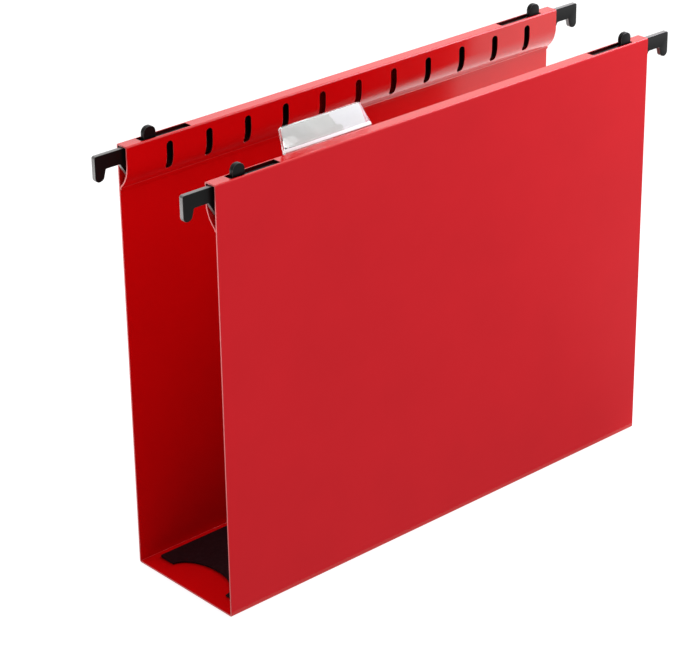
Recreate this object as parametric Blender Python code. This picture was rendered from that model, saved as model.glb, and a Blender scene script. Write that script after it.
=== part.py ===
"""A letter-size hanging box-bottom folder with four retractable hooks, an index tab and a base board.

Metres, +Z up, +X along the folder's length. The origin is under its middle, on the surface it
stands on. Each long side is one leaf, drawn in a section of two numbers: its depth in from the
leaf's outer face, and its height.
"""

import math

import bmesh
import bpy
from mathutils import Matrix, Vector

# The folded sheet
LENGTH = 0.2997
HEIGHT = 0.23495
WIDTH = 0.0753
SHEET = 0.0009
FOLD_RADIUS = 0.0008
GAP = 0.0003

# The band along the top of each leaf, and the flap that hangs from it and is welded to the leaf
BAND = 0.0078
LIP_RADIUS = 0.0165
LIP_START = 0.2248
LIP_END = 0.2112
WELD_HEIGHT = 0.0008

# The windows in the band, which the thumb knobs slide in
WINDOW_START = 0.0105
WINDOW_LENGTH = 0.0308
WINDOW_WIDTH = 0.0052

# The row of index slots in the flap
SLOT_COUNT = 11
SLOT_PITCH = 0.0250
SLOT_FIRST = 0.0265
SLOT_WIDTH = 0.0041
SLOT_BOTTOM = 0.2163
SLOT_TOP = 0.2312
SLOT_CUT_START = 0.0026
SLOT_CUT_END = BAND + SHEET

# The hooks. The two on the left are drawn a little in from the outer ends of their windows
LEFT_SLACK = 0.0017
HOOK_THICK = 0.0026
HOOK_EDGE = 0.00045
HOOK_TOP = HEIGHT - SHEET - GAP
HOOK_BOTTOM = 0.2180
HOOK_REACH = 0.0191
HOOK_INSIDE = 0.1070
HOOK_CORNER = 0.0012
HOOK_FILLET = 0.0007
NOTCH_TOP = 0.2260
NOTCH_OUTER = 0.0127
NOTCH_INNER = 0.0037
NOTCH_FOOT = 0.0009
NOSE_BOTTOM = 0.2201
NOSE_WIDTH = 0.0055
NOSE_RADIUS = 0.0026
HEEL_RADIUS = 0.0020
HEEL_RISE = 0.0003
KNOB_START = 0.0111
KNOB_WIDTH = 0.0074
KNOB_RISE = 0.00585
KNOB_RADIUS = 0.0034

# The loose board on the bottom
BOARD_LENGTH = 0.2807
BOARD_WIDTH = 0.0650
BOARD_THICK = 0.0010
THUMB_DEPTH = 0.0122
THUMB_HALF = 0.0214
THUMB_STEPS = 16

# The index tab, in the flap of the front leaf
TAB_SLOT = 2
TAB_TILT = math.radians(30)
TAB_OFFSET = 0.0016
TAB_RISE = 0.0004
TAB_HEIGHT = 0.0124
TAB_THICK = 0.0022
TAB_SKIN = 0.0006
TAB_BAR = 0.0014
TAB_WIDTH = 0.0560
TAB_TOP_WIDTH = 0.0515
TAB_CORNER = 0.0020
TAB_TRIM_DEPTH = 0.030
TAB_NECK = 0.0022
TONGUE_THICK = 0.0009
TONGUE_BOTTOM = 0.2195
PRONG_WIDTH = 0.0027
PRONG_BOTTOM = 0.2225
PRONG_TOP = 0.2295
PRONG_REACH = 0.0057
LABEL_WIDTH = 0.0504
LABEL_THICK = 0.0003

RED = (0.56, 0.018, 0.024)
BLACK = (0.018, 0.019, 0.019)
BOARD_BLACK = (0.022, 0.006, 0.010)
CLEAR = (0.86, 0.87, 0.88)
WHITE = (0.82, 0.83, 0.81)

PARTS = bpy.data.collections.new("hanging_box_folder")
CUTTERS = bpy.data.collections.new("cutters")


def clear_scene():
    for old in list(bpy.data.objects):
        bpy.data.objects.remove(old)
    for collection in (PARTS, CUTTERS):
        bpy.context.scene.collection.children.link(collection)


def material(name, colour, roughness, alpha=1.0):
    made = bpy.data.materials.new(name)
    made.use_nodes = True
    shader = made.node_tree.nodes["Principled BSDF"]
    shader.inputs["Base Color"].default_value = (*colour, 1.0)
    shader.inputs["Roughness"].default_value = roughness
    shader.inputs["Metallic"].default_value = 0.0
    shader.inputs["Alpha"].default_value = alpha
    return made


def arc(centre, radius, start, end, steps):
    """Points on a circle from one angle to another, in degrees, both ends included."""
    points = []
    for step in range(steps + 1):
        angle = math.radians(start + (end - start) * step / steps)
        points.append((centre[0] + radius * math.cos(angle), centre[1] + radius * math.sin(angle)))
    return points


def outline_mesh(name, loops, thickness, edge=0.0):
    """The mesh of flat closed loops in the XY plane, thickened along Z, with its rims rounded."""
    curve = bpy.data.curves.new(name, "CURVE")
    curve.dimensions = "2D"
    curve.fill_mode = "BOTH"
    curve.extrude = thickness / 2 - edge
    curve.bevel_depth = edge
    curve.bevel_resolution = 1
    curve.offset = -edge
    for loop in loops:
        spline = curve.splines.new("POLY")
        spline.use_cyclic_u = True
        spline.points.add(len(loop) - 1)
        for point, place in zip(spline.points, loop):
            point.co = (*place, 0.0, 1.0)
    guide = bpy.data.objects.new(name + "_outline", curve)
    PARTS.objects.link(guide)
    bpy.context.view_layer.update()
    graph = bpy.context.evaluated_depsgraph_get()
    mesh = bpy.data.meshes.new_from_object(guide.evaluated_get(graph))
    bpy.data.objects.remove(guide)
    bpy.data.curves.remove(curve)
    solid = bmesh.new()
    solid.from_mesh(mesh)
    bmesh.ops.remove_doubles(solid, verts=solid.verts, dist=1e-6)
    bmesh.ops.recalc_face_normals(solid, faces=solid.faces)
    solid.to_mesh(mesh)
    solid.free()
    mesh.name = name
    return mesh


def box_mesh(name, low, high):
    """A box between two corners."""
    low, high = Vector(low), Vector(high)
    solid = bmesh.new()
    bmesh.ops.create_cube(solid, size=1.0)
    bmesh.ops.scale(solid, verts=solid.verts, vec=high - low)
    bmesh.ops.translate(solid, verts=solid.verts, vec=(low + high) / 2)
    mesh = bpy.data.meshes.new(name)
    solid.to_mesh(mesh)
    solid.free()
    return mesh


def joined(name, meshes):
    """One mesh that holds several separate closed ones."""
    solid = bmesh.new()
    for mesh in meshes:
        solid.from_mesh(mesh)
    whole = bpy.data.meshes.new(name)
    solid.to_mesh(whole)
    solid.free()
    return whole


def part(name, mesh, finish, parent=None, place=(0, 0, 0)):
    made = bpy.data.objects.new(name, mesh)
    made.location = place
    made.parent = parent
    mesh.materials.clear()
    mesh.materials.append(finish)
    PARTS.objects.link(made)
    return made


def boolean(target, mesh, operation):
    """Cuts target by a mesh given in target's own axes, or joins or trims it with one."""
    cutter = bpy.data.objects.new(mesh.name, mesh)
    cutter.parent = target
    cutter.hide_render = True
    cutter.display_type = "WIRE"
    CUTTERS.objects.link(cutter)
    modifier = target.modifiers.new(mesh.name, "BOOLEAN")
    modifier.operation = operation
    modifier.solver = "EXACT"
    modifier.object = cutter


def section_axes(side):
    """Turns a leaf's section, depth in and height, into the leaf's own axes. Side is -1 in front."""
    return Matrix(((0, 0, 1, 0), (-side, 0, 0, 0), (0, 1, 0, 0), (0, 0, 0, 1)))


def placed(mesh, matrix):
    """Moves a mesh, and turns its faces back out where the matrix mirrors them."""
    mesh.transform(matrix)
    if matrix.determinant() < 0:
        mesh.flip_normals()
    return mesh


def leaf_section():
    """The outer loop and the channel's loop of a leaf's section: panel, band and welded flap."""
    fold = FOLD_RADIUS
    inner_fold = fold / 2
    lip_centre = (BAND - LIP_RADIUS, LIP_START)
    lip_sweep = math.degrees(math.asin((LIP_START - LIP_END) / LIP_RADIUS))
    inside = LIP_RADIUS - SHEET
    weld = math.degrees(math.acos((SHEET + GAP - lip_centre[0]) / inside))
    outer = [(0.0, 0.0)]
    outer += arc((fold, HEIGHT - fold), fold, 180, 90, 4)
    outer += arc((BAND - fold, HEIGHT - fold), fold, 90, 0, 4)
    outer += arc(lip_centre, LIP_RADIUS, 0, -lip_sweep, 14)
    outer += [(SHEET, LIP_END - WELD_HEIGHT), (SHEET, 0.0)]
    channel = [(SHEET, LIP_START - inside * math.sin(math.radians(weld)) - GAP)]
    channel += arc(lip_centre, inside, -weld, 0, 12)
    channel += arc((BAND - SHEET - inner_fold, HEIGHT - SHEET - inner_fold), inner_fold, 0, 90, 3)
    channel += arc((SHEET + inner_fold, HEIGHT - SHEET - inner_fold), inner_fold, 90, 180, 3)
    return outer, channel


def leaf_cutters(name, side):
    """The two knob windows of the band and the index slots of the flap."""
    axes = section_axes(side)
    inset = (BAND - WINDOW_WIDTH) / 2
    cutters = []
    for start in (WINDOW_START - LENGTH / 2, LENGTH / 2 - WINDOW_START - WINDOW_LENGTH):
        low = (inset, HEIGHT - 2 * SHEET, start)
        high = (inset + WINDOW_WIDTH, HEIGHT + SHEET, start + WINDOW_LENGTH)
        cutters.append(placed(box_mesh("window", low, high), axes))
    radius = SLOT_WIDTH / 2
    for number in range(SLOT_COUNT):
        middle = SLOT_FIRST + SLOT_PITCH * number - LENGTH / 2
        loop = arc((middle, SLOT_TOP - radius), radius, 0, 180, 6)
        loop += arc((middle, SLOT_BOTTOM + radius), radius, 180, 360, 6)
        slot = outline_mesh("slot", [loop], SLOT_CUT_END - SLOT_CUT_START)
        through = (SLOT_CUT_START + SLOT_CUT_END) / 2
        stand = Matrix(((1, 0, 0, 0), (0, 0, -side, -side * through), (0, 1, 0, 0), (0, 0, 0, 1)))
        cutters.append(placed(slot, stand))
    return joined(name + "_openings", cutters)


def leaf(name, side, finish, parent):
    mesh = outline_mesh(name, leaf_section(), LENGTH)
    panel = part(name, placed(mesh, section_axes(side)), finish, parent)
    boolean(panel, leaf_cutters(name, side), "DIFFERENCE")
    return panel


def hook_outline():
    """A hook seen from its side. The first number is the distance out from the folder's end."""
    corner, fillet = HOOK_CORNER, HOOK_FILLET
    nose_inner = HOOK_REACH - NOSE_WIDTH
    heel = (nose_inner + HEEL_RADIUS, NOSE_BOTTOM + HEEL_RADIUS + HEEL_RISE)
    knob_end = -KNOB_START - KNOB_WIDTH
    knob_top = HEIGHT + KNOB_RISE
    outline = arc((HOOK_REACH - corner, HOOK_TOP - corner), corner, 90, 0, 4)
    outline += arc((HOOK_REACH - NOSE_RADIUS, NOSE_BOTTOM + NOSE_RADIUS), NOSE_RADIUS, 0, -100, 7)
    outline += arc(heel, HEEL_RADIUS, -112, -168, 4)
    outline += arc((NOTCH_OUTER - fillet, NOTCH_TOP - fillet), fillet, 15, 90, 3)
    outline += arc((NOTCH_INNER + fillet, NOTCH_TOP - fillet), fillet, 90, 150, 3)
    outline += [(-NOTCH_FOOT, HOOK_BOTTOM)]
    outline += arc((-HOOK_INSIDE + corner, HOOK_BOTTOM + corner), corner, 270, 180, 3)
    outline += arc((-HOOK_INSIDE + corner, HOOK_TOP - corner), corner, 180, 90, 3)
    outline += arc((knob_end - fillet, HOOK_TOP + fillet), fillet, 270, 360, 3)
    outline += arc((knob_end + KNOB_RADIUS, knob_top - KNOB_RADIUS), KNOB_RADIUS, 180, 90, 6)
    outline += arc((-KNOB_START - KNOB_RADIUS, knob_top - KNOB_RADIUS), KNOB_RADIUS, 90, 0, 6)
    outline += arc((-KNOB_START + fillet, HOOK_TOP + fillet), fillet, 180, 270, 3)
    return outline


def hook(name, side, end, finish, parent):
    """A hook and its thumb knob, one moulding. End is -1 at the folder's left end and 1 at its right."""
    mesh = outline_mesh(name, [hook_outline()], HOOK_THICK, HOOK_EDGE)
    stand = Matrix(((end, 0, 0, 0), (0, 0, 1, 0), (0, 1, 0, 0), (0, 0, 0, 1)))
    slack = LEFT_SLACK if end < 0 else 0.0
    place = (end * (LENGTH / 2 - slack), -side * BAND / 2, 0.0)
    return part(name, placed(mesh, stand), finish, parent, place)


def base_panel(finish):
    half = WIDTH / 2 - SHEET - GAP
    mesh = box_mesh("base_panel", (-LENGTH / 2, -half, 0.0), (LENGTH / 2, half, SHEET))
    return part("base_panel", mesh, finish)


def base_board(finish):
    """The board, with a thumb cut-out in the middle of each end."""
    end = BOARD_LENGTH / 2
    half = BOARD_WIDTH / 2
    loop = []
    for side in (1, -1):
        loop.append((side * end, side * -half))
        for step in range(THUMB_STEPS + 1):
            angle = math.radians(-90 + 180 * step / THUMB_STEPS)
            inward = THUMB_DEPTH * math.cos(angle)
            loop.append((side * (end - inward), side * THUMB_HALF * math.sin(angle)))
        loop.append((side * end, side * half))
    mesh = outline_mesh("base_board", [loop], BOARD_THICK)
    return part("base_board", mesh, finish, None, (0.0, 0.0, SHEET + GAP + BOARD_THICK / 2))


def tab_face():
    """The axes of the tab's tilted face in the front leaf: along the folder, up the face, and out of it."""
    tilt = Matrix.Rotation(math.pi / 2 - TAB_TILT, 4, "X")
    return Matrix.Translation((TAB_OFFSET, BAND + GAP, HEIGHT + TAB_RISE)) @ tilt


def tab_section():
    """The holder's outer loop and its label pocket, as distance behind the front leaf's face and height."""
    round_top = TAB_THICK / 2
    lean = Vector((math.sin(TAB_TILT), math.cos(TAB_TILT)))
    behind = Vector((math.cos(TAB_TILT), -math.sin(TAB_TILT)))
    foot = Vector((BAND + GAP, HEIGHT + TAB_RISE))

    def spot(up, back):
        return tuple(foot + lean * up + behind * back)

    outer = [(foot[0], TONGUE_BOTTOM), spot(0.0, 0.0)]
    for back, up in arc((round_top, TAB_HEIGHT - round_top), round_top, 180, 0, 8):
        outer.append(spot(up, back))
    outer.append(spot(0.0, TAB_THICK))
    outer.append((foot[0] + TONGUE_THICK, HEIGHT - TAB_NECK))
    outer.append((foot[0] + TONGUE_THICK, TONGUE_BOTTOM))
    pocket_top = TAB_HEIGHT - TAB_SKIN
    pocket = [
        spot(TAB_BAR, TAB_SKIN),
        spot(TAB_BAR, TAB_THICK - TAB_SKIN),
        spot(pocket_top, TAB_THICK - TAB_SKIN),
        spot(pocket_top, TAB_SKIN),
    ]
    return outer, pocket


def tab_trim():
    """The holder's face: straight below, then drawn in to its rounded top corners."""
    low = -2 * TAB_HEIGHT
    half, top_half = TAB_WIDTH / 2, TAB_TOP_WIDTH / 2
    slope = math.degrees(math.atan2(half - top_half, TAB_HEIGHT))
    corner = (top_half - TAB_CORNER, TAB_HEIGHT + GAP - TAB_CORNER)
    right = [(half, low), (half, 0.0)] + arc(corner, TAB_CORNER, slope, 90, 5)
    left = [(-x, y) for x, y in reversed(right)]
    return outline_mesh("tab_trim", [right + left], TAB_TRIM_DEPTH)


def tab_centre():
    return SLOT_FIRST + SLOT_PITCH * TAB_SLOT - LENGTH / 2


def tab_holder(finish, parent):
    mesh = placed(outline_mesh("tab_holder", tab_section(), TAB_WIDTH), section_axes(-1))
    mesh.transform(Matrix.Translation((TAB_OFFSET, 0.0, 0.0)))
    holder = part("tab_holder", mesh, finish, parent, (tab_centre(), 0.0, 0.0))
    boolean(holder, placed(tab_trim(), tab_face()), "INTERSECT")
    prongs = []
    for step in (-1, 1):
        middle = step * SLOT_PITCH
        low = (middle - PRONG_WIDTH / 2, PRONG_REACH, PRONG_BOTTOM)
        high = (middle + PRONG_WIDTH / 2, BAND + GAP + TONGUE_THICK / 2, PRONG_TOP)
        prongs.append(box_mesh("prong", low, high))
    boolean(holder, joined("prongs", prongs), "UNION")
    return holder


def tab_label(finish, parent):
    low = (-LABEL_WIDTH / 2, TAB_BAR + GAP / 2, -(TAB_THICK + LABEL_THICK) / 2)
    high = (LABEL_WIDTH / 2, TAB_HEIGHT - TAB_SKIN - GAP, -(TAB_THICK - LABEL_THICK) / 2)
    mesh = box_mesh("tab_label", low, high)
    label = part("tab_label", mesh, finish, parent)
    label.location = (tab_centre() + TAB_OFFSET, BAND + GAP, HEIGHT + TAB_RISE)
    label.rotation_euler = (math.pi / 2 - TAB_TILT, 0.0, 0.0)
    return label


def fold(name, side):
    """An empty on the crease that a leaf turns about."""
    crease = bpy.data.objects.new(name, None)
    crease.location = (0.0, side * WIDTH / 2, 0.0)
    PARTS.objects.link(crease)
    return crease


def main():
    clear_scene()
    red = material("red_sheet", RED, 0.35)
    black = material("hook_black", BLACK, 0.45)
    base_panel(red)
    base_board(material("board_black", BOARD_BLACK, 0.6))
    for side, place in ((-1, "front"), (1, "back")):
        crease = fold(place + "_fold", side)
        leaf(place + "_panel", side, red, crease)
        for end, hand in ((-1, "left"), (1, "right")):
            hook(f"hook_{place}_{hand}", side, end, black, crease)
        if side < 0:
            tab_holder(material("clear_tab", CLEAR, 0.1, 0.35), crease)
            tab_label(material("label_paper", WHITE, 0.8), crease)


main()
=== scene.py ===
"""The looks of a letter-size hanging box-bottom folder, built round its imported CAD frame.

Metres, +Z up, +X along the folder's length, and the origin under its middle. A leaf's section is
drawn in two numbers: the depth in from the leaf's outer face, and the height. Every stretch of the
red sheet is cut flat first, with its windows and slots, and is then bent along its centre line.
"""

import math

import bmesh
import bpy
import numpy as np
from mathutils import Matrix, Vector

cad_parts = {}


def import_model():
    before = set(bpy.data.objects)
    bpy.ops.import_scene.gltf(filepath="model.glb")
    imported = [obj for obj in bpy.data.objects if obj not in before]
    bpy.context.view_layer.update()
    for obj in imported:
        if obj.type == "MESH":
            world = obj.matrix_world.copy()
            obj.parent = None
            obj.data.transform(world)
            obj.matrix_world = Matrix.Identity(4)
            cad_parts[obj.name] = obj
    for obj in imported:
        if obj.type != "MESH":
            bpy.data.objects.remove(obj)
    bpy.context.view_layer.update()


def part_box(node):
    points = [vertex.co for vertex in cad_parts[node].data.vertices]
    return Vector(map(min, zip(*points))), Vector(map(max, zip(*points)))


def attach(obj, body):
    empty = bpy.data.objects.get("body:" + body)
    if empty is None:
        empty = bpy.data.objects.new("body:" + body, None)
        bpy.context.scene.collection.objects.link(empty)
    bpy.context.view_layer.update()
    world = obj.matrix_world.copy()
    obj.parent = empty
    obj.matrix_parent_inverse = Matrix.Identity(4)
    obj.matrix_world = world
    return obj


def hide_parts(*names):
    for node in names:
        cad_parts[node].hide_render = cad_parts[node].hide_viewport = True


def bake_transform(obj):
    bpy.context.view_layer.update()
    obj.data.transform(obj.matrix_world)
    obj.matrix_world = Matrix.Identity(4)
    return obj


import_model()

# The driving sizes, from the frame
LEAF_LOW, LEAF_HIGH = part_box("front_panel")
LENGTH = LEAF_HIGH.x - LEAF_LOW.x
HEIGHT = LEAF_HIGH.z
WIDTH = -2 * LEAF_LOW.y
BAND = LEAF_HIGH.y - LEAF_LOW.y
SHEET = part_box("base_panel")[1].z

# The sheet: the round of its cut edges, the outer radii of its folds, and how much of the bottom
# and of a leaf bends with a crease
RIM = 0.00012
BAND_FOLD = 0.0010
CREASE_FOLD = 0.0010
CREASE_STRIP = 0.0026

# The flap's lip, which curves back to the panel, and the tail that is welded to it
LIP_RADIUS = 0.0165
LIP_START = 0.2248
TAIL_BEND = 0.0014
TAIL = 0.0011
TAIL_CORNER = 0.0010
WELD_GAP = 0.00003

# A bend is cut every few degrees, and is paler where it is tight. Painted shade darkens the band's
# inside, and some of the sheet next to it
BEND_STEP = 6.0
TIGHT_BEND = 0.004
LEAF_PALENESS = 0.25
CREASE_PALENESS = 1.0
SHADE_DEPTH = 0.0040

# The knob windows in the band and the index slots in the flap
WINDOW_START = 0.0105
WINDOW_LENGTH = 0.0308
WINDOW_WIDTH = 0.0052
WINDOW_CORNER = 0.0005
SLOT_COUNT = 11
SLOT_PITCH = 0.0250
SLOT_FIRST = 0.0265
SLOT_WIDTH = 0.0041
SLOT_TOP = 0.2312
SLOT_BOTTOM = 0.2163

# The hooks. A face of one leans by how far its normal points out of the hook's plane: 0 is a wall
# and 1 is a broad side, with the bevel between them. The lean picks the faces with a painted
# highlight
HOOK_EDGE = 0.00022
HOOK_WALL_LEAN = 0.2
HOOK_FACE_LEAN = 0.8
HOOK_REACH = 0.0191
HOOK_BOTTOM = 0.2180
HOOK_CORNER = 0.0012
HOOK_FILLET = 0.0007
NOTCH_TOP = 0.2260
NOTCH_OUTER = 0.0127
NOTCH_INNER = 0.0037
NOTCH_FOOT = 0.0009
NOSE_WIDTH = 0.0055
NOSE_RADIUS = 0.0026
NOSE_BOTTOM = 0.2201
HEEL_RADIUS = 0.0020
HEEL_RISE = 0.0003
KNOB_START = 0.0111
KNOB_WIDTH = 0.0074
KNOB_RADIUS = 0.0034

# The board
THUMB_DEPTH = 0.0122
THUMB_HALF = 0.0214
THUMB_STEPS = 32
BOARD_CORNER = 0.0012
BOARD_EDGE = 0.0002

# The index tab, over the third slot from the left, and its label
TAB_SLOT = 2
TAB_TILT = math.radians(30)
TAB_OFFSET = 0.0016
TAB_RISE = 0.0004
TAB_HEIGHT = 0.0124
TAB_THICK = 0.0022
TAB_SKIN = 0.0006
TAB_BAR = 0.0014
TAB_WIDTH = 0.0560
TAB_TOP_WIDTH = 0.0515
TAB_CORNER = 0.0020
TAB_EDGE = 0.00028
TAB_EDGE_ANGLE = math.radians(40)
TAB_TRIM_DEPTH = 0.030
TAB_NECK = 0.0022
TAB_GAP = 0.0003
TONGUE_THICK = 0.0009
TONGUE_BOTTOM = 0.2195
PRONG_WIDTH = 0.0027
PRONG_BOTTOM = 0.2225
PRONG_TOP = 0.2295
PRONG_REACH = 0.0057
LABEL_WIDTH = 0.0504
LABEL_THICK = 0.0003
LABEL_CORNER = 0.0006
LABEL_EDGE = 0.00006

# Smooth shading: edges sharper than these angles stay sharp, on solids and on plates. A plate's
# broad faces have a normal with more than FLAT out of its plane, and its rims less than STEEP
SOLID_SHARP = math.radians(35)
PLATE_SHARP = math.radians(40)
FLAT = 0.999
STEEP = 0.5

# How near to a cut end a face counts as its end face, and the steps in a rounded corner
END_SLACK = 1e-7
CORNER_STEPS = 6

# The camera's place, the way it looks, its roll, its lens and sensor in millimetres, and its clip
CAMERA_PLACE = Vector((-0.82575, -0.88545, 0.6781))
CAMERA_TARGET = Vector((-0.0787, -0.0427, 0.1357))
CAMERA_ROLL = math.radians(-0.895)
CAMERA_LENS = 133.44
CAMERA_SENSOR = 36.0
CAMERA_CLIP = (0.05, 50.0)

# The sheet's looks: its gloss dulls between two facing factors, sooner on the band's top. Its reds
# are those of its gloss, its outer panels with a painted sheen, the painted shade inside the band and
# on the holes' edges, its paler tight bends, and its cut ends with a painted highlight
GRAZING = (0.88, 0.96)
TOP_GRAZING = (0.70, 0.82)
GRAZING_DULL = 0.75
RED = (0.68, 0.0016, 0.0030)
SHEEN_FACE_RED = (0.70, 0.0165, 0.0245)
SHADE_RED = (0.06, 0.0006, 0.0008)
PALE_BEND_RED = (0.80, 0.10, 0.10)
LIT_CUT_RED = (0.82, 0.14, 0.14)

# The other looks: the tones that a material is mottled between, the hooks' paler tones being a
# painted highlight, and the colours of the glows, the paper's glow being painted light
HOOK_TONES = ((0.0030, 0.0034, 0.0034), (0.0048, 0.0054, 0.0054))
HIGHLIGHT_TONES = ((0.085, 0.078, 0.075), (0.120, 0.111, 0.106))
BOARD_TONES = ((0.010, 0.0022, 0.0035), (0.022, 0.010, 0.012))
PAPER_TONES = ((0.93, 0.96, 0.91), (0.96, 0.98, 0.94))
PAPER_LIGHT = (0.97, 1.0, 0.95)
# Painted light: the card glows a little, so it looks whiter behind the clear holder
PAPER_PAINTED_GLOW = 0.11
CLEAR_LIGHT = (1.0, 0.96, 0.97)
CLEAR_IOR = 1.49
WHITE = (1.0, 1.0, 1.0)
BLACK = (0.0, 0.0, 0.0)

# The stage: the floor and the dome that only the camera sees, and the card that lights the folder
# from below
STAGE_RADIUS = 8.0
FLOOR_HEIGHT = -0.0002
FLOOR_BASE = 0.30
FLOOR_GLOW = 0.85
BACKDROP_GLOW = 1.0
CARD_HEIGHT = -0.0004

# A glow grows along a direction: the direction, the two values of it between which it grows, and
# its strength at each. The card's go by place in metres, the world's by direction. A lamp is a soft
# spot on the card: its middle, two distances from it, and the strength at each
CARD_GLOWS = [
    ((0.748, 0.663, 0.0), 0.06, 0.14, 0.72, 1.55),
    ((-1.0, 0.3, 0.0), 0.16, 0.40, 0.0, 0.65),
]
CARD_LAMPS = [
    ((-0.50, 0.34, 0.0), 0.08, 0.22, 2.4, 0.0),
    ((0.24, 0.09, 0.0), 0.06, 0.17, 1.3, 0.0),
    ((0.36, -0.05, 0.0), 0.10, 0.20, 0.30, 0.0),
]
WORLD_WAY = Vector((0.72, 0.45, 0.53)).normalized()
WORLD_GLOW = (WORLD_WAY, -0.3, 0.9, 0.26, 1.50)
SIDE_BOX = {
    "place": (0.40, -0.14, 0.46),
    "aim": (0.0, -0.10, 0.20),
    "side": 0.40,
    "radiance": 3.6,
    "colour": (1.0, 0.97, 1.15),
}


# Materials

UNSTRETCHED = (1.0, 1.0, 1.0)
NOISE_MIDDLE = (0.3, 0.7)

# A colour Mix node has sockets for other kinds too, so its own are known by number
MIX_COLOURS = (6, 7)
MIX_RESULT = 2


def shader_of(name):
    """A new material's nodes, links and shader."""
    made = bpy.data.materials.new(name)
    made.use_nodes = True
    tree = made.node_tree
    return made, tree.nodes, tree.links, tree.nodes["Principled BSDF"]


def add(nodes, kind, **settings):
    node = nodes.new(kind)
    for key, value in settings.items():
        setattr(node, key, value)
    return node


def opaque(colour):
    return (*colour, 1.0)


def noise(nodes, links, place, scale, detail=3.0, roughness=0.55):
    node = add(nodes, "ShaderNodeTexNoise")
    node.inputs["Scale"].default_value = scale
    node.inputs["Detail"].default_value = detail
    node.inputs["Roughness"].default_value = roughness
    links.new(place, node.inputs["Vector"])
    return node.outputs["Fac"]


def stretched(nodes, links, scale=UNSTRETCHED):
    """The object's own coordinates. A scale below 1 along an axis draws a grain out along it."""
    place = add(nodes, "ShaderNodeTexCoord")
    mapping = add(nodes, "ShaderNodeMapping")
    mapping.inputs["Scale"].default_value = scale
    links.new(place.outputs["Object"], mapping.inputs["Vector"])
    return mapping.outputs["Vector"]


def ranged(nodes, links, value, low, high, low_to, high_to):
    """A value between low and high, moved to between low_to and high_to, and held at the ends."""
    node = add(nodes, "ShaderNodeMapRange")
    node.inputs["From Min"].default_value = low
    node.inputs["From Max"].default_value = high
    node.inputs["To Min"].default_value = low_to
    node.inputs["To Max"].default_value = high_to
    links.new(value, node.inputs["Value"])
    return node.outputs["Result"]


def spread(nodes, links, fac, low_to, high_to):
    """A noise's middle stretch, spread out between two numbers."""
    return ranged(nodes, links, fac, *NOISE_MIDDLE, low_to, high_to)


def worked(nodes, links, operation, first, second):
    node = add(nodes, "ShaderNodeMath", operation=operation)
    links.new(first, node.inputs[0])
    links.new(second, node.inputs[1])
    return node.outputs[0]


def mixed_colour(nodes, links, share, first, second):
    """A mix of two colours, each a tuple or another node's output."""
    node = add(nodes, "ShaderNodeMix", data_type="RGBA")
    for socket, colour in zip(MIX_COLOURS, (first, second)):
        if isinstance(colour, tuple):
            node.inputs[socket].default_value = opaque(colour)
        else:
            links.new(colour, node.inputs[socket])
    links.new(share, node.inputs[0])
    return node.outputs[MIX_RESULT]


def bumped(nodes, links, shader, layers):
    """Chains bumps, each a height, a distance in metres and a strength."""
    normal = None
    for height, distance, strength in layers:
        bump = add(nodes, "ShaderNodeBump")
        bump.inputs["Distance"].default_value = distance
        bump.inputs["Strength"].default_value = strength
        links.new(height, bump.inputs["Height"])
        if normal is not None:
            links.new(normal, bump.inputs["Normal"])
        normal = bump.outputs["Normal"]
    links.new(normal, shader.inputs["Normal"])


def scaled(colour, factor):
    return tuple(part * factor for part in colour)


def sheet_material(name, colour, gloss, specular, grazing=GRAZING):
    """Extruded polypropylene: a faint drawn grain, soft waves, and a paler colour in the tight bends.
    Its gloss is duller where it is seen at a grazing angle: grazing is the stretch of the facing
    factor over which it dulls."""
    made, nodes, links, shader = shader_of(name)
    plain = stretched(nodes, links)
    drawn = stretched(nodes, links, (0.12, 1.0, 1.0))
    cloud = noise(nodes, links, plain, scale=22.0)
    grain = noise(nodes, links, drawn, scale=900.0, detail=2.0)
    pebble = noise(nodes, links, plain, scale=2600.0, detail=2.0)
    wave = noise(nodes, links, plain, scale=9.0, detail=1.0)
    cloudy = spread(nodes, links, cloud, 0.0, 1.0)
    tone = mixed_colour(nodes, links, cloudy, colour, scaled(colour, 0.95))
    bend_paleness = add(nodes, "ShaderNodeAttribute", attribute_name="bend_paleness").outputs["Fac"]
    flecked = spread(nodes, links, grain, 0.75, 1.0)
    pale = worked(nodes, links, "MULTIPLY", bend_paleness, flecked)
    links.new(mixed_colour(nodes, links, pale, tone, PALE_BEND_RED), shader.inputs["Base Color"])
    facing = add(nodes, "ShaderNodeLayerWeight").outputs["Facing"]
    dulled = ranged(nodes, links, facing, *grazing, 0.0, GRAZING_DULL)
    drawn_gloss = spread(nodes, links, grain, gloss * 0.96, gloss * 1.05)
    links.new(worked(nodes, links, "ADD", drawn_gloss, dulled), shader.inputs["Roughness"])
    shader.inputs["Specular IOR Level"].default_value = specular
    layers = [(wave, 0.0006, 0.05), (pebble, 0.00001, 0.12), (grain, 0.000003, 0.10)]
    bumped(nodes, links, shader, layers)
    return made


def highlight_edge_material(name, colour):
    """The sheet's cut edge: matt, with fine marks from the knife, and paler for a painted highlight.
    """
    made, nodes, links, shader = shader_of(name)
    plain = stretched(nodes, links)
    marks = noise(nodes, links, plain, scale=3200.0, detail=2.0)
    tone = mixed_colour(nodes, links, marks, colour, scaled(colour, 0.85))
    links.new(tone, shader.inputs["Base Color"])
    shader.inputs["Roughness"].default_value = 0.42
    bumped(nodes, links, shader, [(marks, 0.00002, 0.4)])
    return made


def hook_material(name, tones, roughness, specular):
    """Moulded black nylon, mottled between two tones, with a fine spark-eroded texture."""
    made, nodes, links, shader = shader_of(name)
    plain = stretched(nodes, links)
    spark = noise(nodes, links, plain, scale=4200.0)
    cloud = noise(nodes, links, plain, scale=130.0)
    links.new(mixed_colour(nodes, links, cloud, *tones), shader.inputs["Base Color"])
    links.new(spread(nodes, links, spark, *roughness), shader.inputs["Roughness"])
    shader.inputs["Specular IOR Level"].default_value = specular
    bumped(nodes, links, shader, [(spark, 0.00003, 0.35)])
    return made


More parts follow.
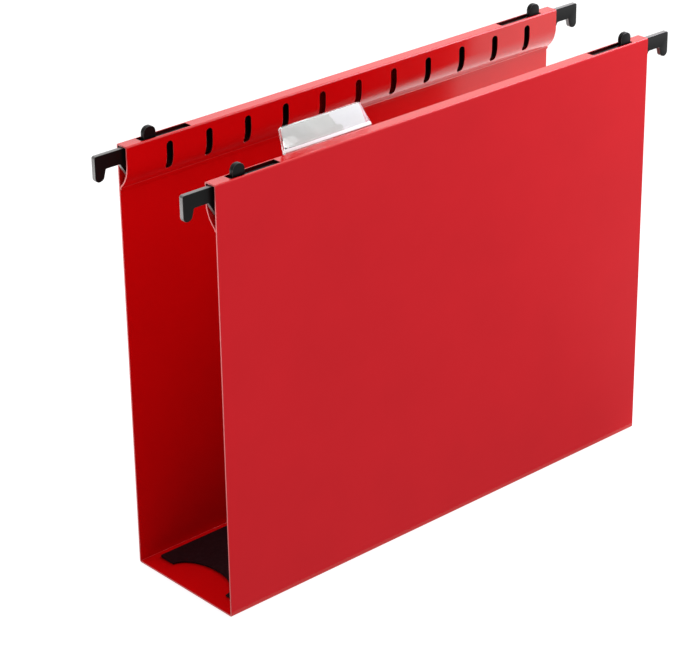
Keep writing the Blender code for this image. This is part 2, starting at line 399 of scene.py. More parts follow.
def board_material():
    """Black pressboard: a fibrous face with pale and dark flecks."""
    made, nodes, links, shader = shader_of("board_black")
    plain = stretched(nodes, links)
    drawn = stretched(nodes, links, (0.25, 1.0, 1.0))
    fibre = noise(nodes, links, drawn, scale=1500.0, detail=5.0, roughness=0.7)
    fleck = noise(nodes, links, plain, scale=420.0, detail=4.0, roughness=0.7)
    flecked = ranged(nodes, links, fleck, 0.45, 0.75, 0.0, 1.0)
    links.new(mixed_colour(nodes, links, flecked, *BOARD_TONES), shader.inputs["Base Color"])
    links.new(spread(nodes, links, fibre, 0.42, 0.58), shader.inputs["Roughness"])
    shader.inputs["Specular IOR Level"].default_value = 0.12
    bumped(nodes, links, shader, [(fibre, 0.00005, 0.5), (fleck, 0.00004, 0.3)])
    return made


def clear_material(name, haze, roughness, glow):
    """Clear plastic with some haze and fine handling marks. A glow stands for the light that the
    walls carry to their edges."""
    made, nodes, links, shader = shader_of(name)
    drawn = stretched(nodes, links, (0.2, 1.0, 1.0))
    scuff = noise(nodes, links, drawn, scale=1100.0, detail=4.0, roughness=0.7)
    scuffed = ranged(nodes, links, scuff, 0.35, 0.75, roughness, roughness * 2.0)
    links.new(scuffed, shader.inputs["Roughness"])
    shader.inputs["Base Color"].default_value = opaque(WHITE)
    shader.inputs["IOR"].default_value = CLEAR_IOR
    shader.inputs["Transmission Weight"].default_value = 1.0 - haze
    shader.inputs["Emission Color"].default_value = opaque(CLEAR_LIGHT)
    shader.inputs["Emission Strength"].default_value = glow
    bumped(nodes, links, shader, [(scuff, 0.00001, 0.1)])
    return made


def paper_material():
    """White card, with soft fibres, a slightly uneven tone, and a faint glow of painted light."""
    made, nodes, links, shader = shader_of("label_paper")
    plain = stretched(nodes, links)
    drawn = stretched(nodes, links, (0.35, 1.0, 1.0))
    fibre = noise(nodes, links, drawn, scale=2300.0, detail=5.0, roughness=0.65)
    cloud = noise(nodes, links, plain, scale=160.0)
    links.new(mixed_colour(nodes, links, cloud, *PAPER_TONES), shader.inputs["Base Color"])
    shader.inputs["Roughness"].default_value = 0.75
    shader.inputs["Specular IOR Level"].default_value = 0.3
    shader.inputs["Emission Color"].default_value = opaque(PAPER_LIGHT)
    shader.inputs["Emission Strength"].default_value = PAPER_PAINTED_GLOW
    bumped(nodes, links, shader, [(fibre, 0.00004, 0.35)])
    return made


SHEET_GLOSS = sheet_material("red_sheet", RED, gloss=0.17, specular=0.5)
SHEET_TOP = sheet_material("red_top", RED, gloss=0.17, specular=0.5, grazing=TOP_GRAZING)
# Painted sheen: the outer panels' red has extra green and blue in place of a reflection
SHEET_SHEEN_FACE = sheet_material("red_face_painted_sheen", SHEEN_FACE_RED, gloss=0.26, specular=0.05)
# Painted shade: a dark red for the band's inside and the holes' edges
SHEET_SHADE = sheet_material("red_painted_shade", SHADE_RED, gloss=0.40, specular=0.20)
# Painted highlight: a pale red on the sheet's cut ends
LIT_CUT_EDGE = highlight_edge_material("red_cut_edge_painted_highlight", LIT_CUT_RED)
HOOK_BLACK = hook_material("hook_black", HOOK_TONES, (0.30, 0.40), specular=0.15)
# Painted highlight: a paler, glossier black for the hooks' walls and bevels
HOOK_HIGHLIGHT = hook_material("hook_black_painted_highlight", HIGHLIGHT_TONES, (0.24, 0.34), specular=0.9)
BOARD_BLACK = board_material()
CLEAR = clear_material("clear_tab", haze=0.04, roughness=0.03, glow=0.0)
CLEAR_EDGE = clear_material("clear_tab_edge", haze=0.85, roughness=0.15, glow=0.20)
PAPER = paper_material()

# The materials of pieces that have more than one. A leaf's faces know theirs by number
SHEET_MATERIALS = [SHEET_GLOSS, LIT_CUT_EDGE, SHEET_SHEEN_FACE, SHEET_SHADE, SHEET_TOP]
ON_LIT_EDGE, ON_SHEEN_FACE, ON_SHADE, ON_TOP = 1, 2, 3, 4
HOOK_MATERIALS = [HOOK_BLACK, HOOK_HIGHLIGHT]
TAB_MATERIALS = [CLEAR, CLEAR_EDGE]


# Outlines and plates


def arc(centre, radius, start, end, steps):
    """Points on a circle from one angle to another, in degrees and even steps, with both ends."""
    points = []
    for step in range(steps + 1):
        angle = math.radians(start + (end - start) * step / steps)
        points.append((centre[0] + radius * math.cos(angle), centre[1] + radius * math.sin(angle)))
    return points


def rounded_box(low, high, radii):
    """A box's outline, anticlockwise from its lower left corner, with a radius for each corner."""
    corners = [(low[0], low[1]), (high[0], low[1]), (high[0], high[1]), (low[0], high[1])]
    inward = [(1, 1), (-1, 1), (-1, -1), (1, -1)]
    outline = []
    for number, (corner, way, radius) in enumerate(zip(corners, inward, radii)):
        if radius == 0:
            outline.append(corner)
            continue
        centre = (corner[0] + way[0] * radius, corner[1] + way[1] * radius)
        outline += arc(centre, radius, 180 + 90 * number, 270 + 90 * number, CORNER_STEPS)
    return outline


def evaluated(piece):
    """The mesh of a curve, or of a mesh with its modifiers applied. The object itself goes."""
    bpy.context.view_layer.update()
    graph = bpy.context.evaluated_depsgraph_get()
    mesh = bpy.data.meshes.new_from_object(piece.evaluated_get(graph))
    bpy.data.objects.remove(piece)
    return mesh


def plate(loops, thickness, rim, rim_steps=2):
    """A flat plate in the XY plane from an outer loop and its holes, with rounded rims."""
    curve = bpy.data.curves.new("plate", "CURVE")
    curve.dimensions = "2D"
    curve.fill_mode = "BOTH"
    curve.extrude = thickness / 2 - rim
    curve.bevel_depth = rim
    curve.bevel_resolution = rim_steps
    curve.offset = -rim
    for loop in loops:
        spline = curve.splines.new("POLY")
        spline.use_cyclic_u = True
        spline.points.add(len(loop) - 1)
        for point, place in zip(spline.points, loop):
            point.co = (*place, 0.0, 1.0)
    guide = bpy.data.objects.new("plate", curve)
    bpy.context.scene.collection.objects.link(guide)
    mesh = evaluated(guide)
    bpy.data.curves.remove(curve)
    solid = bmesh.new()
    solid.from_mesh(mesh)
    bpy.data.meshes.remove(mesh)
    bmesh.ops.remove_doubles(solid, verts=solid.verts, dist=1e-6)
    bmesh.ops.recalc_face_normals(solid, faces=solid.faces)
    return solid


def shown(name, mesh, materials, body, stands_for):
    """A piece in place, riding on its body. Its mesh may come with the first materials on it."""
    piece = bpy.data.objects.new(name, mesh)
    bpy.context.scene.collection.objects.link(piece)
    for material in materials[len(mesh.materials):]:
        mesh.materials.append(material)
    if stands_for:
        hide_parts(stands_for)
    if body:
        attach(piece, body)
    return piece


# The bent sheet


def centre_line(start, heading, runs):
    """A sheet's centre line in the section. Each run is its length and how far it turns, in radians,
    and comes out with how far along it starts, its first point and its first heading."""
    line = []
    point, along = start, 0.0
    for length, turn in runs:
        line.append((along, length, turn, point, heading))
        point, heading = end_of_run(point, heading, turn / length, length)
        along += length
    return line


def end_of_run(point, heading, bend, length):
    """The point and heading at the end of a run, straight or on a circle."""
    after = heading + bend * length
    if bend == 0:
        inward = length * math.cos(heading)
        up = length * math.sin(heading)
    else:
        inward = (math.sin(after) - math.sin(heading)) / bend
        up = (math.cos(heading) - math.cos(after)) / bend
    return (point[0] + inward, point[1] + up), after


def on_line(line, along):
    """The point and heading at a distance along a centre line."""
    run = next((run for run in reversed(line) if run[0] <= along), line[0])
    start, length, turn, point, heading = run
    return end_of_run(point, heading, turn / length, along - start)


def bend_cuts(line):
    """The distances along a centre line where the flat sheet is cut to let it bend."""
    cuts = set()
    for start, length, turn, *_ in line:
        if turn:
            count = max(2, round(abs(math.degrees(turn)) / BEND_STEP))
            cuts.update(start + length * number / count for number in range(count + 1))
    return sorted(cuts)


def in_bend(line, along):
    """1 in the middle of a tight bend, down to 0 at its ends."""
    for start, length, turn, *_ in line:
        if turn and start <= along <= start + length and length < TIGHT_BEND:
            return math.sin(math.pi * (along - start) / length)
    return 0.0


def slice_flat(solid, height, keep=0):
    """Cuts a flat plate across at one height. Keep is 1 to drop what is below it, and -1 to drop
    what is above it."""
    everything = solid.verts[:] + solid.edges[:] + solid.faces[:]
    cut = bmesh.ops.bisect_plane(
        solid, geom=everything, dist=1e-8, plane_co=(0, height, 0), plane_no=(0, 1, 0),
        clear_inner=keep > 0, clear_outer=keep < 0)
    if keep:
        rim = [item for item in cut["geom_cut"] if isinstance(item, bmesh.types.BMEdge)]
        bmesh.ops.edgenet_fill(solid, edges=rim)


def flat_normals(mesh, ends):
    """Each corner's normal on a flat plate: true on its two faces, and rounded over its rims."""
    mesh.shade_smooth()
    mesh.set_sharp_from_angle(angle=PLATE_SHARP)
    normals = np.zeros(len(mesh.loops) * 3)
    mesh.corner_normals.foreach_get("vector", normals)
    normals = normals.reshape(-1, 3)
    facing = {}
    for face in mesh.polygons:
        if abs(face.normal.z) > FLAT:
            for vertex in face.vertices:
                facing[vertex] = math.copysign(1.0, face.normal.z)
    for face in mesh.polygons:
        at_end = any(abs(face.center.y - end) < END_SLACK for end in ends)
        for corner, vertex in zip(face.loop_indices, face.vertices):
            if at_end:
                normals[corner] = face.normal
            elif vertex in facing:
                normals[corner] = (0.0, 0.0, facing[vertex])
    return normals


def flat_sheet(name, loops, ends, cuts):
    """A stretch of the sheet before it is bent, across X and along Y, with its outside up. It is cut
    off below its first end and above its second, if there is one."""
    solid = plate(loops, SHEET, RIM)
    for height, keep in zip(ends, (1, -1)):
        slice_flat(solid, height, keep)
    for height in cuts:
        slice_flat(solid, height)
    mesh = bpy.data.meshes.new(name)
    solid.to_mesh(mesh)
    solid.free()
    for face in mesh.polygons:
        # Every cut edge starts with the pale red of the painted highlight
        if abs(face.normal.z) < STEEP:
            face.material_index = ON_LIT_EDGE
    return mesh


def bend_sheet(mesh, line, side, ends, bend_paleness):
    """Bends a flat stretch along its centre line. Side is -1 for the front leaf and 1 for the back
    one, which is the front one turned half round. The last argument is how pale its tight bends are."""
    normals = flat_normals(mesh, ends)
    turn = Matrix.Rotation(math.pi if side > 0 else 0.0, 3, "Z")
    marks = mesh.attributes.new("bend_paleness", "FLOAT", "POINT")
    headings = []
    for vertex in mesh.vertices:
        across, along, out = vertex.co
        (depth, height), heading = on_line(line, along)
        headings.append(heading)
        depth -= math.sin(heading) * out
        height += math.cos(heading) * out
        vertex.co = turn @ Vector((across, depth - WIDTH / 2, height))
        marks.data[vertex.index].value = bend_paleness * in_bend(line, along)
    for corner in mesh.loops:
        heading = headings[corner.vertex_index]
        across, along, out = normals[corner.index]
        depth = math.cos(heading) * along - math.sin(heading) * out
        height = math.sin(heading) * along + math.cos(heading) * out
        normals[corner.index] = turn @ Vector((across, depth, height))
    mesh.update()
    mesh.normals_split_custom_set(normals.tolist())


# The runs of a leaf's line, by number
FOLD_RUN, TOP_RUN, FLAP_RUN, LIP_RUN = 1, 2, 4, 5


def leaf_line():
    """Up the panel, over the band, down the flap, round its lip and along the welded tail."""
    fold = BAND_FOLD - SHEET / 2
    lip = LIP_RADIUS - SHEET / 2
    lip_centre = BAND - LIP_RADIUS
    tail_depth = 1.5 * SHEET + WELD_GAP
    sweep = math.acos((tail_depth + TAIL_BEND - lip_centre) / (lip + TAIL_BEND))
    quarter = math.pi / 2
    runs = [
        (HEIGHT - BAND_FOLD - CREASE_STRIP, 0.0),
        (fold * quarter, -quarter),
        (BAND - 2 * BAND_FOLD, 0.0),
        (fold * quarter, -quarter),
        (HEIGHT - BAND_FOLD - LIP_START, 0.0),
        (lip * sweep, -sweep),
        (TAIL_BEND * sweep, sweep),
        (TAIL, 0.0),
    ]
    return centre_line((SHEET / 2, CREASE_STRIP), quarter, runs)


def crease_line():
    """From the bottom, round the crease and up into the leaf."""
    fold = CREASE_FOLD - SHEET / 2
    straight = CREASE_STRIP - CREASE_FOLD
    quarter = math.pi / 2
    runs = [(straight, 0.0), (fold * quarter, -quarter), (straight, 0.0)]
    return centre_line((CREASE_STRIP, SHEET / 2), math.pi, runs)


def line_length(line):
    """How long a centre line is from its first run to the end of its last."""
    last_start, last_length = line[-1][:2]
    return last_start + last_length


def leaf_loops(line, side):
    """The leaf's flat pattern, with two knob windows and a row of index slots."""
    end = LENGTH / 2
    far = line_length(line)
    loops = [rounded_box((-end, -SHEET), (end, far), (0, 0, TAIL_CORNER, TAIL_CORNER))]
    top_start, top_length = line[TOP_RUN][:2]
    middle = top_start + top_length / 2
    for start in (WINDOW_START - end, end - WINDOW_START - WINDOW_LENGTH):
        low = (start, middle - WINDOW_WIDTH / 2)
        high = (start + WINDOW_LENGTH, middle + WINDOW_WIDTH / 2)
        loops.append(rounded_box(low, high, [WINDOW_CORNER] * 4)[::-1])
    flap_start, lip_start = line[FLAP_RUN][0], line[LIP_RUN][0]
    top = flap_start + HEIGHT - BAND_FOLD - SLOT_TOP
    below = math.asin((LIP_START - SLOT_BOTTOM) / LIP_RADIUS)
    bottom = lip_start + (LIP_RADIUS - SHEET / 2) * below
    radius = SLOT_WIDTH / 2
    for number in range(SLOT_COUNT):
        centre = -side * (SLOT_FIRST + SLOT_PITCH * number - end)
        loop = arc((centre, bottom - radius), radius, 0, 180, 12)
        loop += arc((centre, top + radius), radius, 180, 360, 12)
        loops.append(loop[::-1])
    return loops


def mark_leaf(mesh, line, shaded):
    """Numbers the materials of a flat leaf: its outside up to the middle of the band's first fold,
    with a painted sheen, the band's top, and the painted shade on the band's inside, a little of the
    sheet next to it, and the holes' edges."""
    fold_start, fold_length = line[FOLD_RUN][:2]
    face_end = fold_start + fold_length / 2
    top_end = line[FLAP_RUN][0]
    far = line_length(line)
    for face in mesh.polygons:
        along, out = face.center.y, face.normal.z
        if abs(out) < STEEP:
            on_rim = abs(face.center.x) > LENGTH / 2 - SHEET or along > far - SHEET
            # The holes' edges get the painted shade, and the cut ends the painted highlight
            face.material_index = ON_LIT_EDGE if on_rim else ON_SHADE
        elif out < 0:
            if shaded[0] < along < shaded[1]:
                face.material_index = ON_SHADE
        elif along < face_end:
            face.material_index = ON_SHEEN_FACE
        elif along < top_end:
            face.material_index = ON_TOP


def leaf(place, side):
    """A whole leaf, from its crease up, with its band and flap."""
    name = place + "_sheet"
    line = leaf_line()
    # The stretch with painted shade: the band's inside and a little of the sheet on either side
    shaded = [line[FOLD_RUN][0] - SHADE_DEPTH, line[FLAP_RUN][0] + SHADE_DEPTH]
    ends = [0.0]
    mesh = flat_sheet(name, leaf_loops(line, side), ends, bend_cuts(line) + shaded)
    mark_leaf(mesh, line, shaded)
    bend_sheet(mesh, line, side, ends, LEAF_PALENESS)
    shown(name, mesh, SHEET_MATERIALS, place + "_leaf", place + "_panel")


def strip(name, line, side, bend_paleness):
    """A plain stretch between two cuts: its flat pattern is longer at both ends, and is cut off."""
    end, far = LENGTH / 2, line_length(line)
    ends = [0.0, far]
    loops = [rounded_box((-end, -SHEET), (end, far + SHEET), (0, 0, 0, 0))]
    mesh = flat_sheet(name, loops, ends, bend_cuts(line))
    bend_sheet(mesh, line, side, ends, bend_paleness)
    return mesh


def crease(place, side):
    """The living hinge between the bottom and a leaf: a strip bent round a quarter turn."""
    name = place + "_crease"
    mesh = strip(name, crease_line(), side, CREASE_PALENESS)
    piece = shown(name, mesh, [SHEET_GLOSS, LIT_CUT_EDGE], None, None)
    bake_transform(piece)


def bottom():
    """The flat bottom, from one crease to the other."""
    run = (WIDTH - 2 * CREASE_STRIP, 0.0)
    line = centre_line((CREASE_STRIP, SHEET / 2), 0.0, [run])
    mesh = strip("bottom_sheet", line, -1, 0.0)
    shown("bottom_sheet", mesh, [SHEET_GLOSS, LIT_CUT_EDGE], "base", "base_panel")


# Smooth solids


def finished(name, solid):
    """A mesh from a bmesh, shaded smooth up to an angle."""
    mesh = bpy.data.meshes.new(name)
    solid.to_mesh(mesh)
    solid.free()
    mesh.shade_smooth()
    mesh.set_sharp_from_angle(angle=SOLID_SHARP)
    return mesh


def flat_faced(mesh):
    """Keeps the two broad faces of a plate flat, so that its rounded rims don't shade them."""
    normals = flat_normals(mesh, [])
    mesh.normals_split_custom_set(normals.tolist())


def combined(name, first, second, operation):
    """One mesh from two, by a Boolean."""
    body = bpy.data.objects.new(name, first)
    other = bpy.data.objects.new(name + "_other", second)
    for piece in (body, other):
        bpy.context.scene.collection.objects.link(piece)
    modifier = body.modifiers.new(operation, "BOOLEAN")
    modifier.operation = operation
    modifier.solver = "EXACT"
    modifier.object = other
    mesh = evaluated(body)
    bpy.data.objects.remove(other)
    return mesh


# The hooks


def hook_outline(inside, top, knob_top):
    """A hook seen from its side. The first number is the distance out from the folder's end."""
    corner, fillet = HOOK_CORNER, HOOK_FILLET
    nose_inner = HOOK_REACH - NOSE_WIDTH
    heel = (nose_inner + HEEL_RADIUS, NOSE_BOTTOM + HEEL_RADIUS + HEEL_RISE)
    knob_end = -KNOB_START - KNOB_WIDTH
    outline = arc((HOOK_REACH - corner, top - corner), corner, 90, 0, 8)
    outline += arc((HOOK_REACH - NOSE_RADIUS, NOSE_BOTTOM + NOSE_RADIUS), NOSE_RADIUS, 0, -100, 16)
    outline += arc(heel, HEEL_RADIUS, -112, -168, 8)
    outline += arc((NOTCH_OUTER - fillet, NOTCH_TOP - fillet), fillet, 15, 90, 5)
    outline += arc((NOTCH_INNER + fillet, NOTCH_TOP - fillet), fillet, 90, 150, 5)
    outline += [(-NOTCH_FOOT, HOOK_BOTTOM)]
    outline += arc((-inside + corner, HOOK_BOTTOM + corner), corner, 270, 180, 6)
    outline += arc((-inside + corner, top - corner), corner, 180, 90, 6)
    outline += arc((knob_end - fillet, top + fillet), fillet, 270, 360, 5)
    outline += arc((knob_end + KNOB_RADIUS, knob_top - KNOB_RADIUS), KNOB_RADIUS, 180, 90, 16)
    outline += arc((-KNOB_START - KNOB_RADIUS, knob_top - KNOB_RADIUS), KNOB_RADIUS, 90, 0, 16)
    outline += arc((-KNOB_START + fillet, top + fillet), fillet, 180, 270, 5)
    return outline


def hook(place, hand, end):
    """One hook and its knob. End is -1 at the folder's left end and 1 at its right end. Its walls
    outside the band and its bevels are paler and glossier, a painted highlight."""
    name = f"hook_{place}_{hand}"
    low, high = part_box(name)
    folder_end = max(end * low.x, end * high.x) - HOOK_REACH
    inside = folder_end - min(end * low.x, end * high.x)
    outline = hook_outline(inside, HEIGHT - SHEET - TAB_GAP, high.z)
    stem = finished("stem", plate([outline], high.y - low.y, HOOK_EDGE, 3))
    for face in stem.polygons:
        lean = abs(face.normal.z)
        outside = face.center.x > 0
        # The faces with the painted highlight
        highlighted = lean < HOOK_FACE_LEAN and (outside or lean > HOOK_WALL_LEAN)
        face.material_index = HOOK_MATERIALS.index(HOOK_HIGHLIGHT if highlighted else HOOK_BLACK)
    flat_faced(stem)
    outward_and_up = Matrix(((end, 0, 0, 0), (0, 0, 1, 0), (0, 1, 0, 0), (0, 0, 0, 1)))
    middle = (low.y + high.y) / 2
    stem.transform(Matrix.Translation((end * folder_end, middle, 0)) @ outward_and_up)
    if end > 0:
        stem.flip_normals()
    body = f"{place}_{hand}_hook"
    shown(name + "_moulding", stem, HOOK_MATERIALS, body, name)


# The board


def board():
    """The loose board, with a thumb cut-out in each end."""
    low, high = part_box("base_board")
    end, half = high.x, high.y
    loop = []
    for side in (1, -1):
        loop += corner_arc((side * end, side * -half), side)
        for step in range(THUMB_STEPS + 1):
            angle = math.radians(-90 + 180 * step / THUMB_STEPS)
            inward = THUMB_DEPTH * math.cos(angle)
            loop.append((side * (end - inward), side * THUMB_HALF * math.sin(angle)))
        loop += corner_arc((side * end, side * half), side)
    mesh = finished("board_piece", plate([loop], high.z - low.z, BOARD_EDGE))
    flat_faced(mesh)
    mesh.transform(Matrix.Translation((0, 0, (low.z + high.z) / 2)))
    shown("board_piece", mesh, [BOARD_BLACK], "board", "base_board")


def corner_arc(corner, side):
    """A small round on a corner of the board, in the order of an anticlockwise outline."""
    radius = BOARD_CORNER
    first = corner[0] * corner[1] < 0
    centre = (corner[0] - side * radius, corner[1] + (radius if corner[1] < 0 else -radius))
    start = (-90 if first else 0) + (0 if side > 0 else 180)
    return arc(centre, radius, start, start + 90, 5)


# The index tab


def tab_centre():
    """The place along the folder of the slot that the tab stands over."""
    return SLOT_FIRST + SLOT_PITCH * TAB_SLOT - LENGTH / 2


def tab_face():
    """The axes of the tab's tilted face: along the folder, up the face, and out of it."""
    foot = Vector((tab_centre() + TAB_OFFSET, LEAF_LOW.y + BAND + TAB_GAP, HEIGHT + TAB_RISE))
    return Matrix.Translation(foot) @ Matrix.Rotation(math.pi / 2 - TAB_TILT, 4, "X")


def tab_label():
    """The blank card, standing in the middle of the holder's pocket."""
    low = (-LABEL_WIDTH / 2, TAB_BAR + TAB_GAP / 2)
    high = (LABEL_WIDTH / 2, TAB_HEIGHT - TAB_SKIN - TAB_GAP)
    outline = rounded_box(low, high, [LABEL_CORNER] * 4)
    mesh = finished("label_card", plate([outline], LABEL_THICK, LABEL_EDGE))
    flat_faced(mesh)
    mesh.transform(tab_face() @ Matrix.Translation((0, 0, -TAB_THICK / 2)))
    shown("label_card", mesh, [PAPER], "label", "tab_label")


def tab_section():
    """The holder's outer loop and its label pocket: depth behind the leaf's face, and height."""
    round_top = TAB_THICK / 2
    lean = Vector((math.sin(TAB_TILT), math.cos(TAB_TILT)))
    behind = Vector((math.cos(TAB_TILT), -math.sin(TAB_TILT)))
    foot = Vector((BAND + TAB_GAP, HEIGHT + TAB_RISE))

    def spot(up, back):
        return tuple(foot + lean * up + behind * back)

    outer = [(foot[0], TONGUE_BOTTOM), spot(0.0, 0.0)]
    for back, up in arc((round_top, TAB_HEIGHT - round_top), round_top, 180, 0, 16):
        outer.append(spot(up, back))
    outer.append(spot(0.0, TAB_THICK))
    outer.append((foot[0] + TONGUE_THICK, HEIGHT - TAB_NECK))
    outer.append((foot[0] + TONGUE_THICK, TONGUE_BOTTOM))
    pocket_top = TAB_HEIGHT - TAB_SKIN
    pocket = [
        spot(TAB_BAR, TAB_SKIN),
        spot(TAB_BAR, TAB_THICK - TAB_SKIN),
        spot(pocket_top, TAB_THICK - TAB_SKIN),
        spot(pocket_top, TAB_SKIN),
    ]
    return [outer, pocket]


def box_mesh(low, high):
    low, high = Vector(low), Vector(high)
    solid = bmesh.new()
    bmesh.ops.create_cube(solid, size=1.0)
    bmesh.ops.scale(solid, verts=solid.verts, vec=high - low)
    bmesh.ops.translate(solid, verts=solid.verts, vec=(low + high) / 2)
    return finished("box", solid)


def haze_bar(mesh):
    """Cuts the holder along the top of its solid bar, which is hazier than its thin walls."""
    for material in TAB_MATERIALS:
        mesh.materials.append(material)
    face_axes = tab_face()
    up = (face_axes.to_3x3() @ Vector((0, 1, 0))).normalized()
    top = face_axes @ Vector((0, TAB_BAR, 0))
    solid = bmesh.new()
    solid.from_mesh(mesh)
    everything = solid.verts[:] + solid.edges[:] + solid.faces[:]
    bmesh.ops.bisect_plane(solid, geom=everything, dist=1e-7, plane_co=top, plane_no=up)
    for face in solid.faces:
        height = (face.calc_center_median() - top).dot(up)
        in_bar = -TAB_BAR < height < 0
        face.material_index = TAB_MATERIALS.index(CLEAR_EDGE if in_bar else CLEAR)
    solid.to_mesh(mesh)
    solid.free()


def tab_extrusion():
    """The holder's section, drawn out along the folder."""
    mesh = finished("tab", plate(tab_section(), TAB_WIDTH, 0.0))
    middle = tab_centre() + TAB_OFFSET
    mesh.transform(Matrix(((0, 0, 1, middle), (1, 0, 0, LEAF_LOW.y), (0, 1, 0, 0), (0, 0, 0, 1))))
    return mesh


def tab_trim():
    """A thick plate with the outline of the tab's face: narrower at its top, with round corners."""
    half, top_half, low = TAB_WIDTH / 2, TAB_TOP_WIDTH / 2, -2 * TAB_HEIGHT
    slope = math.degrees(math.atan2(half - top_half, TAB_HEIGHT))
    corner = (top_half - TAB_CORNER, TAB_HEIGHT + TAB_GAP - TAB_CORNER)
    right = [(half, low), (half, 0.0)] + arc(corner, TAB_CORNER, slope, 90, 12)
    left = [(-x, y) for x, y in reversed(right)]
    mesh = finished("trim", plate([right + left], TAB_TRIM_DEPTH, 0.0))
    mesh.transform(tab_face())
    return mesh


def tab_prong(step):
    """A prong in the slot to the left (-1) or right (1) of the tab's."""
    middle = tab_centre() + step * SLOT_PITCH
    near = LEAF_LOW.y + PRONG_REACH
    far = LEAF_LOW.y + BAND + TAB_GAP + TONGUE_THICK / 2
    low = (middle - PRONG_WIDTH / 2, near, PRONG_BOTTOM)
    high = (middle + PRONG_WIDTH / 2, far, PRONG_TOP)
    return box_mesh(low, high)


def tab_holder():
    """A clear extrusion with a label pocket, a tongue behind the flap and two prongs in its slots."""
    body = combined("tab", tab_extrusion(), tab_trim(), "INTERSECT")
    haze_bar(body)
    for step in (-1, 1):
        body = combined("tab", body, tab_prong(step), "UNION")
    piece = bpy.data.objects.new("tab", body)
    bpy.context.scene.collection.objects.link(piece)
    bevel = piece.modifiers.new("rounded", "BEVEL")
    bevel.width = TAB_EDGE
    bevel.segments = 2
    bevel.limit_method = "ANGLE"
    bevel.angle_limit = TAB_EDGE_ANGLE
    bevel.material = TAB_MATERIALS.index(CLEAR_EDGE)
    mesh = evaluated(piece)
    mesh.shade_smooth()
    mesh.set_sharp_from_angle(angle=SOLID_SHARP)
    shown("tab_clear", mesh, TAB_MATERIALS, "tab", "tab_holder")


# The stage


def staged(name, solid, height, material):
    """A piece of the stage, from a bmesh."""
    mesh = bpy.data.meshes.new(name)
    solid.to_mesh(mesh)
    solid.free()
    mesh.materials.append(material)
    piece = bpy.data.objects.new(name, mesh)
    piece.location = (0, 0, height)
    bpy.context.scene.collection.objects.link(piece)
    return piece


def staged_square(name, height, material):
    """A square piece of the stage, as wide as the dome."""
    solid = bmesh.new()
    bmesh.ops.create_grid(solid, x_segments=1, y_segments=1, size=STAGE_RADIUS)
    return staged(name, solid, height, material)


def only_seen(piece):
    """Keeps a piece of the stage out of the folder's light and reflections."""
    piece.visible_diffuse = False
    piece.visible_glossy = False
    piece.visible_transmission = False
    piece.visible_shadow = False


def pale_material(name, base, glow):
    """A matt grey with an even white glow."""
    made, _, _, shader = shader_of(name)
    shader.inputs["Base Color"].default_value = opaque(scaled(WHITE, base))
    shader.inputs["Roughness"].default_value = 0.9
    shader.inputs["Specular IOR Level"].default_value = 0.0
    shader.inputs["Emission Color"].default_value = opaque(WHITE)
    shader.inputs["Emission Strength"].default_value = glow
    made.cycles.emission_sampling = "NONE"
    return made


def floor():
    """The pale table top, which glows as well as being lit."""
    material = pale_material("studio_floor", FLOOR_BASE, FLOOR_GLOW)
    only_seen(staged_square("floor", FLOOR_HEIGHT, material))


def backdrop():
    """A pale dome behind the table top, for the low views."""
    solid = bmesh.new()
    bmesh.ops.create_uvsphere(solid, u_segments=64, v_segments=32, radius=STAGE_RADIUS)
    material = pale_material("studio_backdrop", 0.0, BACKDROP_GLOW)
    only_seen(staged("backdrop", solid, 0.0, material))


def glow_along(nodes, links, place, way, *fade):
    """A glow that grows along a direction."""
    along = add(nodes, "ShaderNodeVectorMath", operation="DOT_PRODUCT")
    along.inputs[1].default_value = way
    links.new(place, along.inputs[0])
    return ranged(nodes, links, along.outputs["Value"], *fade)


def glow_round(nodes, links, place, middle, *fade):
    """A lamp: a glow that fades with the distance from its middle."""
    near = add(nodes, "ShaderNodeVectorMath", operation="DISTANCE")
    near.inputs[1].default_value = middle
    links.new(place, near.inputs[0])
    return ranged(nodes, links, near.outputs["Value"], *fade)


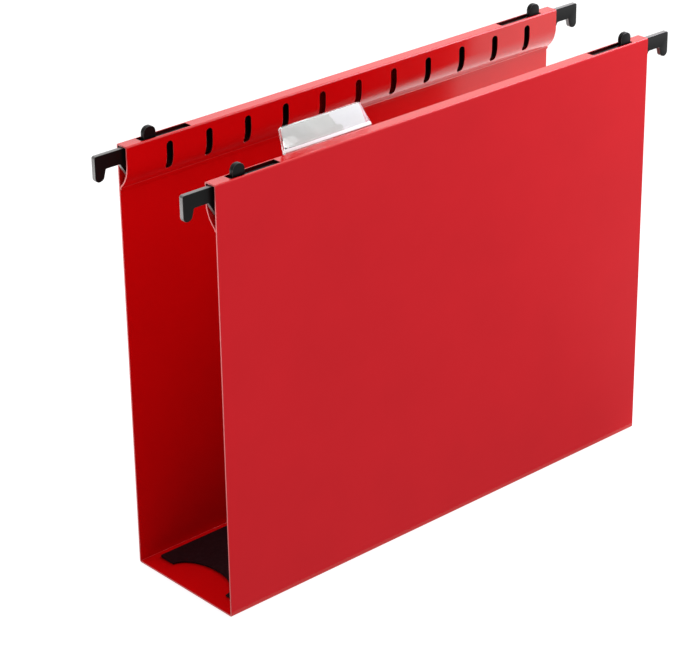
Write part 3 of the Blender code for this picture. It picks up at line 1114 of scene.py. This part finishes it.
def glow_card():
    """What the folder sees below it: dim in front, brighter at the back right and the far left, with
    three lamps."""
    made, nodes, links, shader = shader_of("glow_card")
    shader.inputs["Base Color"].default_value = opaque(BLACK)
    shader.inputs["Specular IOR Level"].default_value = 0.0
    shader.inputs["Emission Color"].default_value = opaque(WHITE)
    place = add(nodes, "ShaderNodeNewGeometry").outputs["Position"]
    glows = [glow_along(nodes, links, place, *glow) for glow in CARD_GLOWS]
    glows += [glow_round(nodes, links, place, *lamp) for lamp in CARD_LAMPS]
    total = glows[0]
    for glow in glows[1:]:
        total = worked(nodes, links, "ADD", total, glow)
    links.new(total, shader.inputs["Emission Strength"])
    staged_square("glow_card", CARD_HEIGHT, made).visible_camera = False


def world():
    """Soft light from all round: dim in front and below, and brightest above the back right."""
    made = bpy.data.worlds.new("studio")
    made.use_nodes = True
    nodes, links = made.node_tree.nodes, made.node_tree.links
    way = add(nodes, "ShaderNodeTexCoord").outputs["Generated"]
    glow = glow_along(nodes, links, way, *WORLD_GLOW)
    links.new(glow, nodes["Background"].inputs["Strength"])
    nodes["Background"].inputs["Color"].default_value = opaque(WHITE)
    bpy.context.scene.world = made


def side_box(place, aim, side, radiance, colour):
    """A large square soft light on the right. Its power gives the radiance of its face."""
    light = bpy.data.lights.new("side_box", "AREA")
    light.shape = "RECTANGLE"
    light.size, light.size_y = side, side
    light.energy = radiance * 4 * side * side
    light.color = colour
    piece = bpy.data.objects.new("side_box", light)
    piece.location = place
    piece.rotation_euler = (Vector(aim) - Vector(place)).to_track_quat("-Z", "Y").to_euler()
    piece.visible_camera = False
    bpy.context.scene.collection.objects.link(piece)


def camera():
    """The photograph's viewpoint, fitted to the folder's corners."""
    made = bpy.data.cameras.new("camera")
    made.lens = CAMERA_LENS
    made.sensor_width = CAMERA_SENSOR
    made.clip_start, made.clip_end = CAMERA_CLIP
    piece = bpy.data.objects.new("camera", made)
    piece.location = CAMERA_PLACE
    look = (CAMERA_TARGET - CAMERA_PLACE).to_track_quat("-Z", "Y")
    piece.rotation_mode = "QUATERNION"
    piece.rotation_quaternion = look @ Matrix.Rotation(CAMERA_ROLL, 3, "Z").to_quaternion()
    bpy.context.scene.collection.objects.link(piece)
    bpy.context.scene.camera = piece


def main():
    for place, side in (("front", -1), ("back", 1)):
        leaf(place, side)
        crease(place, side)
        for hand, end in (("left", -1), ("right", 1)):
            hook(place, hand, end)
    bottom()
    board()
    tab_holder()
    tab_label()
    floor()
    backdrop()
    glow_card()
    world()
    side_box(**SIDE_BOX)
    camera()
    bpy.context.scene.view_settings.view_transform = "Standard"


main()
